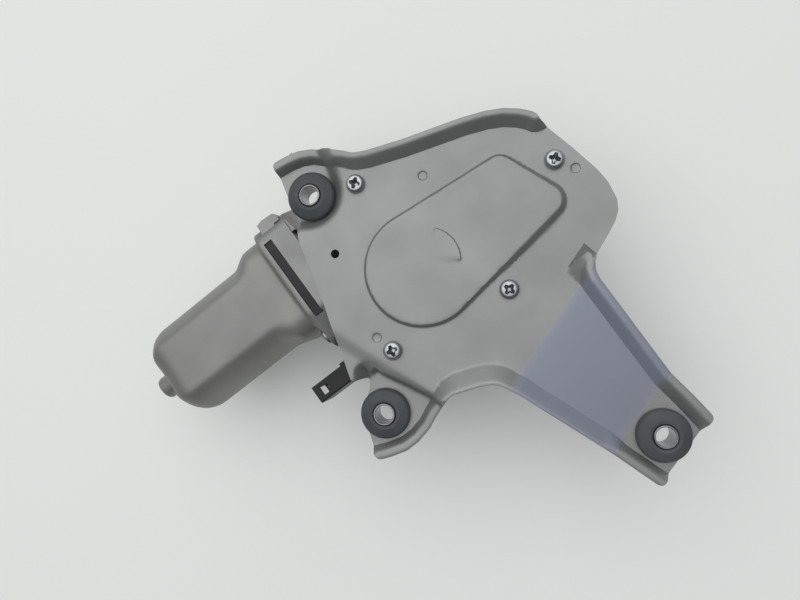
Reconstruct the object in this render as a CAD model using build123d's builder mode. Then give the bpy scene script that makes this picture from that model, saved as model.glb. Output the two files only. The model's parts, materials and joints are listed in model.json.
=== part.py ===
"""Rear wiper gearmotor: drawn steel cover bracket on three rubber grommets, die-cast gear
housing, flat-sided motor can, worm drive and sector-gear linkage to the wiper shaft.

Frame: millimetres, +Z towards the cover side, +X from the motor can towards the gears. The
origin lies on the wiper shaft's axis, at the bare journal where the shaft leaves the housing.
"""

import os
from math import acos, atan, cos, degrees, pi, radians, sin, tan

from build123d import *

os.makedirs("parts", exist_ok=True)

# ---- driving dimensions -------------------------------------------------------------------
deck = 46.0  # height of the cover bracket's outer face above the origin
sheet = 1.6  # bracket steel thickness
wall = 2.4  # die-cast wall thickness
running = 0.05  # radial clearance of a turning fit
free = 0.3  # clearance between parts that only pass each other

# bracket
brim_rise = 4.5  # brim above the floor that it surrounds
brim_wall = 3.4  # from the brim's outer edge to the wall's inner face
ear_drop = 9.0  # the three mounting pads below the floor
joggle_run = 2.8  # width of the step down to a pad
boss_rise = 2.0  # raised oval over the gears
boss_slope = 2.4  # width of the oval's sloping side
arm_turn = 19.3  # direction of the arm's bend lines, degrees from X
arm_fold = 38.0  # where the arm starts down, along the arm
arm_foot = 81.2  # where it meets its pad
gasket = 0.8

# rubber mounts: an M6 sleeve in a grommet, three times
mounts = {"left": (-60.2, 50.6), "lower": (-87.5, -35.7), "right": (-9.3, -101.2)}
sleeve_bore = 7.0
sleeve_outer = 8.4
sleeve_length = 11.0
pad_hole = 13.0
grommet_outer = 19.4
grommet_ring = 11.0
grommet_lip = 3.2  # flange thickness on each side of the pad
grommet_step = 1.2  # rise from the rim to the ring round the sleeve

# cover screws, M4 pan head
screws = [(-42.7, 40.7), (19.9, 1.3), (-21.2, -26.3), (-69.2, -18.5)]
screw_thread = 4.0
screw_head = 7.2
screw_head_height = 2.6
screw_length = 9.0
screw_boss = 8.8
dowel = (-65.1, 24.4)
dowel_hole = 3.4
half_pierced = [(-20.8, 27.1), (23.9, -5.8), (-71.3, -11.0)]
half_pierced_size = 3.6

# worm drive
module = 1.0
wheel_teeth = 50
wheel_at = (-42.0, 0.0)
worm_pitch = 10.0
worm_length = 22.0
axle_depth = 24.0  # armature axis below the cover's face
wheel_width = 9.0
hub_height = 4.5  # above the wheel
axle_boss = 6.4  # under the chamber's floor
tooth_gap = 0.12  # flank clearance on each side
wheel_axle_size = 8.0
chamber_gap = 1.2  # round the wheel

# crank, link and sector
crank_throw = 9.0
lever_length = 17.5
sector_module = 1.25
pinion_teeth = 12
sector_teeth = 16
link_length = 45.5
pin_size = 6.0
lever_thick = 2.0
link_thick = 3.9

# wiper shaft
shaft_size = 10.0
shaft_top_size = 7.0
journal_top = 5.9
journal_end = -3.0
taper_end = -9.0
taper_size = 8.6
stud_size = 8.0
stud_end = -17.0
tower_end = 8.0
tower_radius = 9.0
bush_outer = 13.0
bush_length = 8.0

# motor
motor_face = -87.7  # where the can bolts to the housing
can_radius = 20.6
can_flat = 17.0
can_steel = 1.6
can_corner = 8.0
cup_radius = 5.0
cup_length = 8.6
flare_end = 11.0
flare_length = 8.0
flare_width = 45.0
flare_corner = 9.0
armature_radius = 12.5
core_length = 34.0
winding_length = 7.5  # end turns beyond the core on each side
end_room = 15.0  # from the core to the can's end
magnet_overhang = 3.0
motor_shaft = 8.0
rear_journal = 4.0
commutator_radius = 6.5
commutator_length = 10.0
brush_at = -93.0
brush_size = 5.0
brush_length = 8.0
yoke_screws = [(-26.4, 8.0), (27.5, -15.0)]  # y, z from the motor's axis
yoke_screw_head = 6.8
brush_travel = 1.0
brush_gap = 0.3  # between brush and commutator
holder_height = 31.4

# connector
connector_y = -14.0
connector_depth = 16.8  # its centre below the cover's face
connector_width = 7.4
connector_height = 18.0
connector_end = -106.0

# ---- derived positions --------------------------------------------------------------------
axis_y = wheel_teeth * module / 2 + worm_pitch / 2
axis_z = deck - axle_depth
connector_z = deck - connector_depth
yoke_at = [(axis_y + y, axis_z + z) for y, z in yoke_screws]
wheel_x, wheel_y = wheel_at
pad_floor = deck - ear_drop
rim = deck - sheet - gasket
lead_angle = degrees(atan(module / worm_pitch))
lead = pi * module
wheel_tip = module * (wheel_teeth / 2 + 1)
wheel_root = module * (wheel_teeth / 2 - 1.25)
chamber_radius = wheel_tip + chamber_gap
commutator_start = brush_at - commutator_length / 2
core_end = commutator_start - winding_length - 2.5
core_start = core_end - core_length
can_end = core_start - end_room
cup_floor = can_end - cup_length + can_steel
rear_end = cup_floor + free

# park position: crank and link in line, folded back past the wheel's centre
def lever_angle(reach):
    """Angle of the swing lever when its pin stands at this distance from the wheel's centre."""
    return 180 + degrees(
        acos((wheel_x**2 + lever_length**2 - reach**2) / (-2 * wheel_x * lever_length))
    )


def on_circle(radius, angle):
    return (radius * cos(radians(angle)), radius * sin(radians(angle)))


park_angle = lever_angle(link_length - crank_throw)
far_angle = lever_angle(link_length + crank_throw)
sector_at = on_circle(lever_length, park_angle)
far_at = on_circle(lever_length, far_angle)
link_angle = degrees(atan((sector_at[1] - wheel_y) / (sector_at[0] - wheel_x)))
far_link = degrees(atan((far_at[1] - wheel_y) / (far_at[0] - wheel_x)))
crank_at = (
    wheel_x - crank_throw * cos(radians(link_angle)),
    wheel_y - crank_throw * sin(radians(link_angle)),
)
gear_ratio = sector_teeth / pinion_teeth
lever_travel = far_angle - park_angle
link_travel = far_link - link_angle
sweep_angle = lever_travel * (1 + gear_ratio) - link_travel * gear_ratio
print(f"shaft sweep {sweep_angle:.3f} deg, lever ratio {lever_travel / sweep_angle:.5f}")
print(f"link ratio {(link_travel - lever_travel) / sweep_angle:.5f} on the lever's pin")
print(f"sector pin {sector_at}, crank pin {crank_at}")

lever_top = deck - 2.0
link_top = lever_top - lever_thick - free
link_bottom = link_top - link_thick
crank_boss_top = link_bottom - 2.4
wheel_top = axis_z + wheel_width / 2
wheel_bottom = axis_z - wheel_width / 2
hub_top = wheel_top + hub_height
chamber_floor = wheel_bottom - 1.5
axle_seat = chamber_floor - axle_boss
output_floor = link_bottom - 1.0


def keep(part, name):
    """Label a finished piece and write it."""
    part.label = name
    export_step(part, f"parts/{name}.step")


# ---- cover bracket ------------------------------------------------------------------------
arm_down = Vector(sin(radians(arm_turn)), -cos(radians(arm_turn)), 0)
arm_across = Vector(cos(radians(arm_turn)), sin(radians(arm_turn)), 0)
far_out = 160.0  # beyond every edge
deep = 60.0  # below every floor


def ground(level, spread):
    """Everything under the bracket's floor, raised by level. spread moves the sloping steps
    outwards, so that the sheet keeps its thickness down them."""
    top = deck + level
    joggle = degrees(atan(joggle_run / ear_drop))
    with BuildPart() as body:
        with BuildSketch(Plane.XY.offset(top)):
            Rectangle(2 * far_out, 2 * far_out)
        extrude(amount=-deep)
        with BuildSketch(Plane.XY.offset(top)):
            with Locations((wheel_x, -0.6)):
                Circle(21.0 - spread)
            with Locations((2.0, 10.2), (8.6, -8.6)):
                Circle(5.4 - spread)
            make_hull()
        extrude(amount=boss_rise, taper=degrees(atan(boss_slope / boss_rise)))
        with BuildSketch(Plane(origin=(0, 0, deck), x_dir=arm_down, z_dir=-arm_across)):
            with BuildLine():
                Polyline(
                    (arm_fold, level),
                    (arm_foot, level - ear_drop),
                    (far_out, level - ear_drop),
                    (far_out, level + ear_drop),
                    (arm_fold, level + ear_drop),
                    close=True,
                )
            make_face()
        extrude(amount=far_out, both=True, mode=Mode.SUBTRACT)
        with BuildSketch(Plane.XY.offset(top - ear_drop)):
            with Locations(mounts["left"]):
                Circle(10.3)
            with BuildLine():
                Polyline(mounts["left"], (-95, 62), (-95, 95), (-38, 90), close=True)
            make_hull()
            offset(amount=spread)
        extrude(amount=2 * ear_drop, taper=-joggle, mode=Mode.SUBTRACT)
        with BuildSketch(Plane.XY.offset(top - ear_drop)):
            with BuildLine():
                Polyline(
                    (-80, -20.6), (-79, -23.5), (-70.8, -38.5), (-64.5, -51), (-60, -80),
                    (-130, -80), (-130, -20.6), close=True,
                )
            make_face()
            offset(amount=spread)
        extrude(amount=2 * ear_drop, taper=-joggle, mode=Mode.SUBTRACT)
    return body.part


def drawn_outline(inset):
    """Outer edge of the brim, run out past the edges that have none, and moved inwards."""
    with BuildSketch() as sk:
        with BuildLine():
            Line((-80, 75), (-56.5, 68.7))
            ThreePointArc((-56.5, 68.7), (-48.4, 64.8), (-42, 54.6))
            Polyline((-42, 54.6), (-36.5, 49.2), (4, 33.6))
            ThreePointArc((4, 33.6), (16.5, 27), (24.2, 17.6))
            Polyline(
                (24.2, 17.6), (42, 12), (42, -44), (6, -44), (6, -84), (10.5, -124),
                (-17, -127.6), (-41.6, -58.1), (-45.6, -50.4), (-61.5, -44.3), (-67.5, -46.6),
            )
            ThreePointArc((-67.5, -46.6), (-77, -50.6), (-88.5, -52))
            Polyline((-88.5, -52), (-115, -44), (-115, 60), (-80, 75))
        make_face()
        if inset:
            offset(amount=-inset)
    return sk.sketch


def plain_edges():
    """The blank's cut edges where it has no brim; elsewhere it runs outside the brim."""
    arm_end = [(20, -101.2), (-45, -123.9)]
    with BuildSketch() as sk:
        with BuildLine():
            Polyline(
                (-30, 95), (-64.3, 80), (-65.1, 70.4), (-67.8, 59.1), (-69.9, 51), (-70.6, 43),
                (-73.5, 37.4), (-80.2, 11.7), (-89.4, -18.6), (-84.2, -20.6), (-87.2, -24.4),
                (-93, -28.6), (-96.9, -36), (-100.2, -46), (-108, -80), arm_end[1], arm_end[0],
                (20, -44), (6, -44), (6, -40.5), (8.9, -35.7), (19.3, -31.2),
            )
            ThreePointArc((19.3, -31.2), (27.4, -25.3), (29.7, -16.6))
            Polyline((29.7, -16.6), (27.7, 0), (24.4, 17.4), (30, 60), (-30, 95))
        make_face()
    return sk.sketch


sheet_spread = sheet * tan(atan(ear_drop / joggle_run) / 2)
floor = ground(0, 0)
underside = ground(-sheet, sheet_spread)
brim_top = ground(brim_rise, 0)
brim_under = ground(brim_rise - sheet, sheet_spread)

with BuildPart() as brim:
    with BuildSketch(Plane.XY):
        add(drawn_outline(0))
    extrude(amount=2 * deep)
    add(brim_top, mode=Mode.INTERSECT)
    add(brim_under, mode=Mode.SUBTRACT)

with BuildPart() as hollow:
    with BuildSketch(Plane.XY):
        add(drawn_outline(brim_wall))
    extrude(amount=2 * deep)
    add(floor, mode=Mode.SUBTRACT)

with BuildPart() as blank:
    with BuildSketch(Plane.XY):
        add(plain_edges())
    extrude(amount=2 * deep)

with BuildPart() as cover_bracket:
    with BuildSketch(Plane.XY):
        add(drawn_outline(brim_wall - sheet))
    extrude(amount=2 * deep)
    add(brim_top, mode=Mode.INTERSECT)
    add(underside, mode=Mode.SUBTRACT)
    add(brim.part)
    add(hollow.part, mode=Mode.SUBTRACT)
    add(blank.part, mode=Mode.INTERSECT)
    with Locations(*[(x, y, deck) for x, y in screws]):
        Cylinder(screw_thread / 2 + 0.25, 4 * sheet, mode=Mode.SUBTRACT)
    with Locations((*dowel, deck)):
        Cylinder(dowel_hole / 2, 4 * sheet, mode=Mode.SUBTRACT)
    with Locations(*[(x, y, pad_floor) for x, y in mounts.values()]):
        Cylinder(pad_hole / 2, 4 * sheet, mode=Mode.SUBTRACT)
    with Locations(*[(x, y, deck) for x, y in half_pierced]):
        Cylinder(half_pierced_size / 2, 1.0, mode=Mode.SUBTRACT)
keep(cover_bracket.part, "cover_bracket")


def cavity_outline(growth):
    """Plan of the linkage space: the worm wheel's round and the sector's swing."""
    with BuildSketch() as sk:
        with Locations(wheel_at):
            Circle(chamber_radius + growth)
        with BuildSketch(mode=Mode.PRIVATE) as swing:
            with Locations(wheel_at):
                Circle(20.0 + growth)
            with Locations(sector_at, far_at):
                Circle(12.6 + growth)
            with Locations((0, 0)):
                Circle(13.0 + growth)
            make_hull()
        add(swing.sketch)
    return sk.sketch


def boss_web(width):
    """Plan of the web from the chamber to the first screw's boss."""
    with BuildSketch() as sk:
        with Locations(screws[0], (screws[0][0], chamber_radius)):
            Circle(width)
        make_hull()
    return sk.sketch


def motor_flange(inset):
    """Joint face between can and housing: y, z along the motor."""
    lobes = [(*yoke_screws[0], 6.5), (*yoke_screws[1], 5), (-15, 12, 7), (17, 12, 7), (-15, -12, 7)]
    with BuildSketch() as sk:
        for y, z, radius in lobes:
            with Locations((axis_y + y, axis_z + z)):
                Circle(radius - inset)
        make_hull()
    return sk.sketch


def can_section(inset):
    """Round can with two flats."""
    with BuildSketch() as sk:
        with Locations((axis_y, axis_z)):
            Circle(can_radius - inset)
            Rectangle(3 * can_radius, 2 * (can_flat - inset), mode=Mode.INTERSECT)
    return sk.sketch


def flare_section(inset):
    """The can's widened root, round the brush boxes."""
    with BuildSketch() as sk:
        with Locations((axis_y, axis_z)):
            RectangleRounded(flare_width - 2 * inset, 2 * (can_flat - inset), flare_corner - inset)
    return sk.sketch


def across(x):
    """Plane across the motor at x; its own directions are the frame's y and z."""
    return Plane(origin=(x, 0, 0), x_dir=(0, 1, 0), z_dir=(1, 0, 0))


def motor_axis(x):
    """Plane on the motor's axis at x, looking along +X."""
    return Plane(origin=(x, axis_y, axis_z), x_dir=(0, 1, 0), z_dir=(1, 0, 0))


base = (Align.CENTER, Align.CENTER, Align.MIN)
hung = (Align.CENTER, Align.CENTER, Align.MAX)

# ---- gear housing -------------------------------------------------------------------------
motor_box = 13.0  # length of the housing's motor end
tunnel_bore = 7.0
tunnel_end = wheel_x + worm_length / 2 + 10
boss_depth = 13.0
seat = 3.0  # rim under the bracket
slot = (motor_face + 2.6, axis_y - 1.25, 3.8, 35.7)  # brush-holder slot: x, y, width, length
tunnel_face = motor_face + motor_box
inner_end = tunnel_face + 2.7  # inner end of the connector's body and face of the front bearing

with BuildPart() as gear_housing:
    with BuildSketch(Plane.XY.offset(chamber_floor - wall)):
        with Locations(wheel_at):
            Circle(chamber_radius + wall)
    extrude(amount=rim - chamber_floor + wall)
    with BuildSketch(Plane.XY.offset(output_floor - wall)):
        add(cavity_outline(wall))
    extrude(amount=rim - output_floor + wall)
    with BuildSketch(Plane.XY.offset(rim - seat)):
        add(cavity_outline(wall + 1.8))
        with Locations(*screws):
            Circle(screw_boss / 2 + 0.6)
    extrude(amount=seat)
    with Locations(*[(x, y, rim) for x, y in screws]):
        Cylinder(screw_boss / 2, boss_depth, align=hung)
    with BuildSketch(Plane.XY.offset(rim - boss_depth)):
        add(boss_web(2.5))
    extrude(amount=boss_depth)
    with Locations((wheel_x, wheel_y, axle_seat)):
        Cylinder(wheel_axle_size / 2 + wall, chamber_floor - axle_seat, align=base)
    with BuildSketch(across(motor_face)):
        add(motor_flange(0))
    extrude(amount=motor_box)
    with Locations(motor_axis(tunnel_face)):
        Cylinder(tunnel_bore + wall, tunnel_end - tunnel_face, align=base)
        Cone(17.5, tunnel_bore + wall, 13.0, align=base)
    with BuildSketch(Plane.XY.offset(axis_z + 4)):
        with BuildLine():
            Polyline(
                (-85.5, 44), (-85, 54.8), (-82.3, 55.5), (-77, 55), (-75.8, 53.5), (-76, 51.3),
                (-78.6, 51.4), (-79.4, 49.7), (-76.5, 49.4), (-74.2, 50), (-73, 44), close=True,
            )
        make_face()
    extrude(amount=14)
    with Locations((0, 0, tower_end)):
        Cone(tower_radius, tower_radius + 2.5, output_floor - tower_end, align=base)
    with BuildSketch(Plane.XZ):
        with BuildLine():
            Polyline(
                (-12.5, output_floor), (12.5, output_floor), (tower_radius, tower_end + 5),
                (-tower_radius, tower_end + 5), close=True,
            )
        make_face()
    ribs = extrude(amount=1.1, both=True)
    add(ribs.rotate(Axis.Z, 60))
    add(ribs.rotate(Axis.Z, 120))
    with Locations((inner_end - 2.5, connector_y, connector_z)):
        Box(9, connector_width + 2.4, connector_height + 2.4)

    with BuildSketch(Plane.XY.offset(chamber_floor)):
        with Locations(wheel_at):
            Circle(chamber_radius)
    extrude(amount=deep, mode=Mode.SUBTRACT)
    with Locations((wheel_x, wheel_y, chamber_floor)):
        Cylinder(7.0, wheel_bottom - chamber_floor - 0.2, align=base)
    with BuildSketch(Plane.XY.offset(output_floor)):
        add(cavity_outline(0))
    extrude(amount=deep, mode=Mode.SUBTRACT)
    with BuildSketch(across(motor_face)):
        add(motor_flange(wall))
    extrude(amount=motor_box - wall, mode=Mode.SUBTRACT)
    with Locations(motor_axis(motor_face)):
        Cylinder(tunnel_bore, tunnel_end - wall - motor_face, align=base, mode=Mode.SUBTRACT)
    with Locations((slot[0], slot[1], deck)):
        Box(slot[2], slot[3], 16, align=hung, mode=Mode.SUBTRACT)
    with Locations((0, 0, 0)):
        Cylinder(bush_outer / 2, deck, align=base, mode=Mode.SUBTRACT)
    with Locations((inner_end - 8, connector_y, connector_z)):
        Box(40, connector_width, connector_height, mode=Mode.SUBTRACT)
    with Locations((*wheel_at, axle_seat + wall)):
        Cylinder(wheel_axle_size / 2, chamber_floor, align=base, mode=Mode.SUBTRACT)

    with Locations((*screws[2], rim)):
        Cylinder(screw_boss / 2, boss_depth, align=hung)
    with Locations(*[(motor_face, y, z) for y, z in yoke_at]):
        Cylinder(4.2, motor_box, rotation=(0, 90, 0), align=base)
        Cylinder(screw_thread / 2 + running, 9, rotation=(0, 90, 0), align=base, mode=Mode.SUBTRACT)
    with Locations(*[(x, y, rim) for x, y in screws]):
        Cylinder(screw_thread / 2 + running, screw_length, align=hung, mode=Mode.SUBTRACT)
    with Locations((*dowel, rim)):
        Cylinder(dowel_hole / 2, 6, align=hung, mode=Mode.SUBTRACT)
keep(gear_housing.part, "gear_housing")

with BuildPart() as cover_gasket:
    with BuildSketch(Plane.XY.offset(rim)):
        add(cavity_outline(wall + 1.4))
        add(boss_web(2.5))
        with Locations(*screws):
            Circle(screw_boss / 2 + 0.4)
        add(cavity_outline(0.4), mode=Mode.SUBTRACT)
        with Locations(screws[2]):
            Circle(screw_boss / 2 + 0.4)
        with Locations(*screws):
            Circle(screw_thread / 2 + 0.2, mode=Mode.SUBTRACT)
    extrude(amount=gasket)
keep(cover_gasket.part, "cover_gasket")


def pan_screw(head, height, length):
    """Cross-recessed pan-head screw, head up, its seat on the plane z = 0."""
    with BuildPart() as screw:
        Cylinder(screw_thread / 2, length, align=hung)
        Cylinder(head / 2, height, align=base)
        chamfer(screw.edges().group_by(Axis.Z)[-1], height * 0.4)
        with BuildSketch(Plane.XY.offset(height)):
            Rectangle(head * 0.55, 1.0)
            Rectangle(1.0, head * 0.55)
        extrude(amount=-height * 0.55, mode=Mode.SUBTRACT)
    return screw.part


with BuildPart() as cover_screws:
    with Locations(*[(x, y, deck) for x, y in screws]):
        add(pan_screw(screw_head, screw_head_height, screw_length))
keep(cover_screws.part, "cover_screws")

with BuildPart() as yoke_bolts:
    with Locations(*[
        Location((motor_face - can_steel, y, z), (0, -90, 0)) for y, z in yoke_at
    ]):
        add(pan_screw(yoke_screw_head, screw_head_height, screw_length))
keep(yoke_bolts.part, "yoke_screws")

# ---- rubber mounts ------------------------------------------------------------------------
pad_middle = pad_floor - sheet / 2
for place, (x, y) in mounts.items():
    with BuildPart(Plane(origin=(x, y, pad_middle))) as grommet:
        with BuildSketch(Plane(origin=(x, y, pad_middle), x_dir=(1, 0, 0), z_dir=(0, -1, 0))):
            with BuildLine():
                bore, neck, lip = sleeve_outer / 2, pad_hole / 2, grommet_outer / 2
                half, shoulder = sheet / 2, sheet / 2 + grommet_lip
                crown = shoulder + grommet_step
                upper = [
                    (neck, half), (lip, half), (lip, shoulder - 1.2), (lip - 1.2, shoulder),
                    (grommet_ring / 2, crown), (bore, crown - 0.6),
                ]
                lower = [(r, -h) for r, h in reversed(upper)]
                Polyline(*upper, *lower, close=True)
            make_face()
        revolve(axis=Axis((x, y, 0), (0, 0, 1)))
    keep(grommet.part, f"grommet_{place}")
    with BuildPart(Plane(origin=(x, y, pad_middle))) as sleeve:
        Cylinder(sleeve_outer / 2, sleeve_length)
        Cylinder(sleeve_bore / 2, sleeve_length, mode=Mode.SUBTRACT)
    keep(sleeve.part, f"sleeve_{place}")

# ---- motor can ----------------------------------------------------------------------------
flare_at = motor_face - flare_end
with BuildPart() as motor_can:
    with BuildSketch(across(motor_face)):
        add(motor_flange(0))
    extrude(amount=-can_steel)
    for inset, mode in ((0, Mode.ADD), (can_steel, Mode.SUBTRACT)):
        with BuildSketch(across(can_end + inset)):
            add(can_section(inset))
        drum = extrude(amount=flare_at - flare_length - can_end - inset, mode=Mode.PRIVATE)
        drum = drum.fillet(can_corner - inset, drum.edges().group_by(Axis.X)[0])
        add(drum, mode=mode)
        with BuildSketch(across(flare_at - flare_length)):
            add(can_section(inset))
        with BuildSketch(across(flare_at)):
            add(flare_section(inset))
        loft(mode=mode)
        with BuildSketch(across(flare_at)):
            add(flare_section(inset))
        extrude(amount=flare_end, mode=mode)
        with Locations(motor_axis(can_end - cup_length + inset)):
            Cylinder(cup_radius - inset, cup_length + can_steel * 2, align=base, mode=mode)
    chamfer(motor_can.edges().group_by(Axis.X)[0], 0.8)
    with Locations(*[(motor_face, y, z) for y, z in yoke_at]):
        Cylinder(screw_thread / 2 + 0.2, 9, rotation=(0, 90, 0), mode=Mode.SUBTRACT)
keep(motor_can.part, "motor_can")

# ---- teeth --------------------------------------------------------------------------------
pressure = radians(20)


def involute(angle):
    return tan(angle) - angle


def tooth_space(size, teeth, tip, root):
    """Space between two teeth, centred on X. Each flank is an arc through three points of the
    involute, and runs radially below the base circle."""
    pitch_radius = size * teeth / 2
    base_radius = pitch_radius * cos(pressure)
    start, end = max(root, base_radius), tip + 0.3

    def flank(radius, side):
        turn = involute(acos(base_radius / radius)) - involute(pressure)
        angle = pi / (2 * teeth) + turn + tooth_gap / pitch_radius
        return (radius * cos(angle), side * radius * sin(angle))

    def foot(side):
        x, y = flank(start, side)
        return (x * root / start, y * root / start)

    with BuildSketch() as sk:
        with BuildLine():
            ThreePointArc(*[flank(r, 1) for r in (start, (start + end) / 2, end)])
            Line(flank(end, 1), flank(end, -1))
            ThreePointArc(*[flank(r, -1) for r in (end, (start + end) / 2, start)])
            if start > root:
                Polyline(flank(start, -1), foot(-1), foot(1), flank(start, 1))
            else:
                Line(flank(start, -1), flank(start, 1))
        make_face()
    return sk.sketch


# ---- worm wheel and its axle --------------------------------------------------------------
tilt = Vector(0, sin(radians(lead_angle)), cos(radians(lead_angle)))

with BuildPart() as wheel_space:
    with BuildSketch():
        add(tooth_space(module, wheel_teeth, wheel_tip, wheel_root))
    extrude(amount=wheel_width * 0.7, dir=tilt, both=True)

with BuildPart() as worm_wheel:
    with Locations((wheel_x, wheel_y, wheel_bottom)):
        Cylinder(wheel_tip, wheel_width, align=base)
        Cylinder(19.5, 4.0, align=base, mode=Mode.SUBTRACT)
        Cylinder(7.5, hub_top - wheel_bottom, align=base)
    with Locations((*crank_at, wheel_top)):
        Cylinder(5.5, crank_boss_top - wheel_top, align=base)
    with Locations((wheel_x, wheel_y, wheel_bottom)):
        Cylinder(wheel_axle_size / 2 + running, deep, align=base, mode=Mode.SUBTRACT)
    with Locations((wheel_x, wheel_y, axis_z)):
        with PolarLocations(0, wheel_teeth, start_angle=90):
            add(wheel_space.part, mode=Mode.SUBTRACT)
keep(worm_wheel.part, "worm_wheel")

with BuildPart() as contact_disc:
    with BuildSketch(Plane.XY.offset(wheel_top)):
        with Locations(wheel_at):
            Circle(23.0)
            Circle(15.0, mode=Mode.SUBTRACT)
        with Locations((wheel_x + 20, wheel_y)):
            Rectangle(3.2, 9, mode=Mode.SUBTRACT)
    extrude(amount=0.4)
keep(contact_disc.part, "contact_disc")

with BuildPart() as wheel_axle:
    with Locations((wheel_x, wheel_y, axle_seat + wall)):
        Cylinder(wheel_axle_size / 2, hub_top + 1.5 - axle_seat - wall, align=base)
    chamfer(wheel_axle.edges().group_by(Axis.Z)[-1], 0.6)
keep(wheel_axle.part, "wheel_axle")

# ---- sector link, swing lever and pinion --------------------------------------------------
pinion_pitch = sector_module * pinion_teeth / 2
sector_pitch = sector_module * sector_teeth / 2
stub_tip = 0.8 * sector_module
stub_root = 1.05 * sector_module
sector_step = 360 / sector_teeth
mesh_travel = lever_travel - link_travel  # of the line of centres, seen from the link


def sector_point(radius, turn):
    """Point at this radius about the sector's pin, turned from its line to the shaft."""
    x, y = on_circle(radius, park_angle - 180 + turn)
    return (sector_at[0] + x, sector_at[1] + y)


def sector_fan(radius, start, end):
    with BuildSketch() as sk:
        with BuildLine():
            rim_points = [sector_point(radius, turn) for turn in (start, (start + end) / 2, end)]
            ThreePointArc(*rim_points)
            Polyline(rim_points[2], sector_at, rim_points[0])
        make_face()
    return sk.sketch


with BuildPart() as sector_link:
    with BuildSketch(Plane.XY.offset(link_bottom)):
        with Locations(sector_at):
            Circle(sector_pitch - stub_root)
        with Locations(crank_at):
            Circle(6.2)
        make_hull()
        add(sector_fan(pinion_pitch * 4, -1.55 * sector_step, mesh_travel), mode=Mode.SUBTRACT)
        with Locations(sector_point(pinion_pitch + sector_pitch, mesh_travel)):
            Circle(pinion_pitch + stub_tip + free, mode=Mode.SUBTRACT)
        with Locations(sector_at):
            Circle(sector_pitch - stub_root)
        add(sector_fan(sector_pitch + stub_tip, -1.5 * sector_step, 3.5 * sector_step))
        with Locations(sector_at):
            with PolarLocations(0, 6, start_angle=park_angle - 180 - 1.5 * sector_step,
                                angular_range=6 * sector_step):
                add(tooth_space(
                    sector_module, sector_teeth, sector_pitch + stub_tip, sector_pitch - stub_root,
                ), mode=Mode.SUBTRACT)
            Circle(pin_size / 2 + running, mode=Mode.SUBTRACT)
        with Locations(crank_at):
            Circle(pin_size / 2, mode=Mode.SUBTRACT)
    extrude(amount=link_thick)
keep(sector_link.part, "sector_link")

with BuildPart() as crank_pin:
    with Locations((*crank_at, crank_boss_top + free)):
        Cylinder(pin_size / 2, link_top - crank_boss_top - free, align=base)
    with Locations((*crank_at, link_top)):
        Cylinder(4.0, 1.0, align=base)
    chamfer(crank_pin.edges().group_by(Axis.Z)[0], 0.4)
keep(crank_pin.part, "crank_pin")

with BuildPart() as swing_lever:
    with BuildSketch(Plane.XY.offset(lever_top - lever_thick)):
        Circle(6.5)
        with Locations(sector_at):
            Circle(5.2)
        make_hull()
        Circle(shaft_top_size / 2 + running, mode=Mode.SUBTRACT)
        with Locations(sector_at):
            Circle(pin_size / 2, mode=Mode.SUBTRACT)
    extrude(amount=lever_thick)
keep(swing_lever.part, "swing_lever")

with BuildPart() as sector_pin:
    with Locations((*sector_at, link_bottom - 0.2)):
        Cylinder(pin_size / 2, lever_top - link_bottom + 0.2, align=base)
    chamfer(sector_pin.edges().group_by(Axis.Z)[0], 0.4)
keep(sector_pin.part, "sector_pin")

with BuildPart() as output_gear:
    with BuildSketch(Plane.XY.offset(link_bottom)):
        Circle(pinion_pitch + stub_tip)
        with PolarLocations(0, pinion_teeth, start_angle=park_angle):
            add(tooth_space(
                sector_module, pinion_teeth, pinion_pitch + stub_tip, pinion_pitch - stub_root,
            ), mode=Mode.SUBTRACT)
        Circle(shaft_top_size / 2, mode=Mode.SUBTRACT)
    extrude(amount=link_thick)
keep(output_gear.part, "output_gear")

# ---- wiper shaft --------------------------------------------------------------------------
ring_groove = 1.2
with BuildPart() as output_shaft:
    with BuildSketch(Plane.XZ):
        with BuildLine():
            shaft, stud, groove = shaft_size / 2, stud_size / 2, shaft_size / 2 - 0.7
            Polyline(
                (0, stud_end), (stud - 0.8, stud_end), (stud, stud_end + 0.8), (stud, taper_end),
                (taper_size / 2, taper_end), (shaft, journal_end), (shaft, journal_top),
                (groove, journal_top), (groove, journal_top + ring_groove),
                (shaft, journal_top + ring_groove), (shaft, link_bottom),
                (shaft_top_size / 2, link_bottom), (shaft_top_size / 2, lever_top + 0.8),
                (shaft_top_size / 2 - 0.5, lever_top + 1.3), (0, lever_top + 1.3), close=True,
            )
        make_face()
    revolve(axis=Axis.Z)
keep(output_shaft.part, "output_shaft")


def tube(outer, inner, low, high):
    """Plain ring on the wiper shaft's axis."""
    with BuildPart() as ring:
        with BuildSketch(Plane.XY.offset(low)):
            Circle(outer)
            Circle(inner, mode=Mode.SUBTRACT)
        extrude(amount=high - low)
    return ring.part


seal_height = 2.5
keep(tube(bush_outer / 2, shaft_size / 2 + 0.1, tower_end, tower_end + seal_height), "shaft_seal")
lower_bush = tower_end + seal_height + 0.5
keep(tube(bush_outer / 2, shaft_size / 2 + running, lower_bush, lower_bush + bush_length),
     "shaft_bush_lower")
keep(tube(bush_outer / 2, shaft_size / 2 + running, output_floor - bush_length, output_floor),
     "shaft_bush_upper")
keep(tube(8.0, shaft_size / 2 + running, tower_end - 0.8, tower_end), "shaft_washer")

with BuildPart() as retaining_ring:
    with BuildSketch(Plane.XY.offset(journal_top + 0.1)):
        Circle(7.2)
        Circle(shaft_size / 2 - 0.7, mode=Mode.SUBTRACT)
        with Locations((6, 0)):
            Rectangle(12, 5, mode=Mode.SUBTRACT)
    extrude(amount=ring_groove - 0.2)
keep(retaining_ring.part, "retaining_ring")

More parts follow.
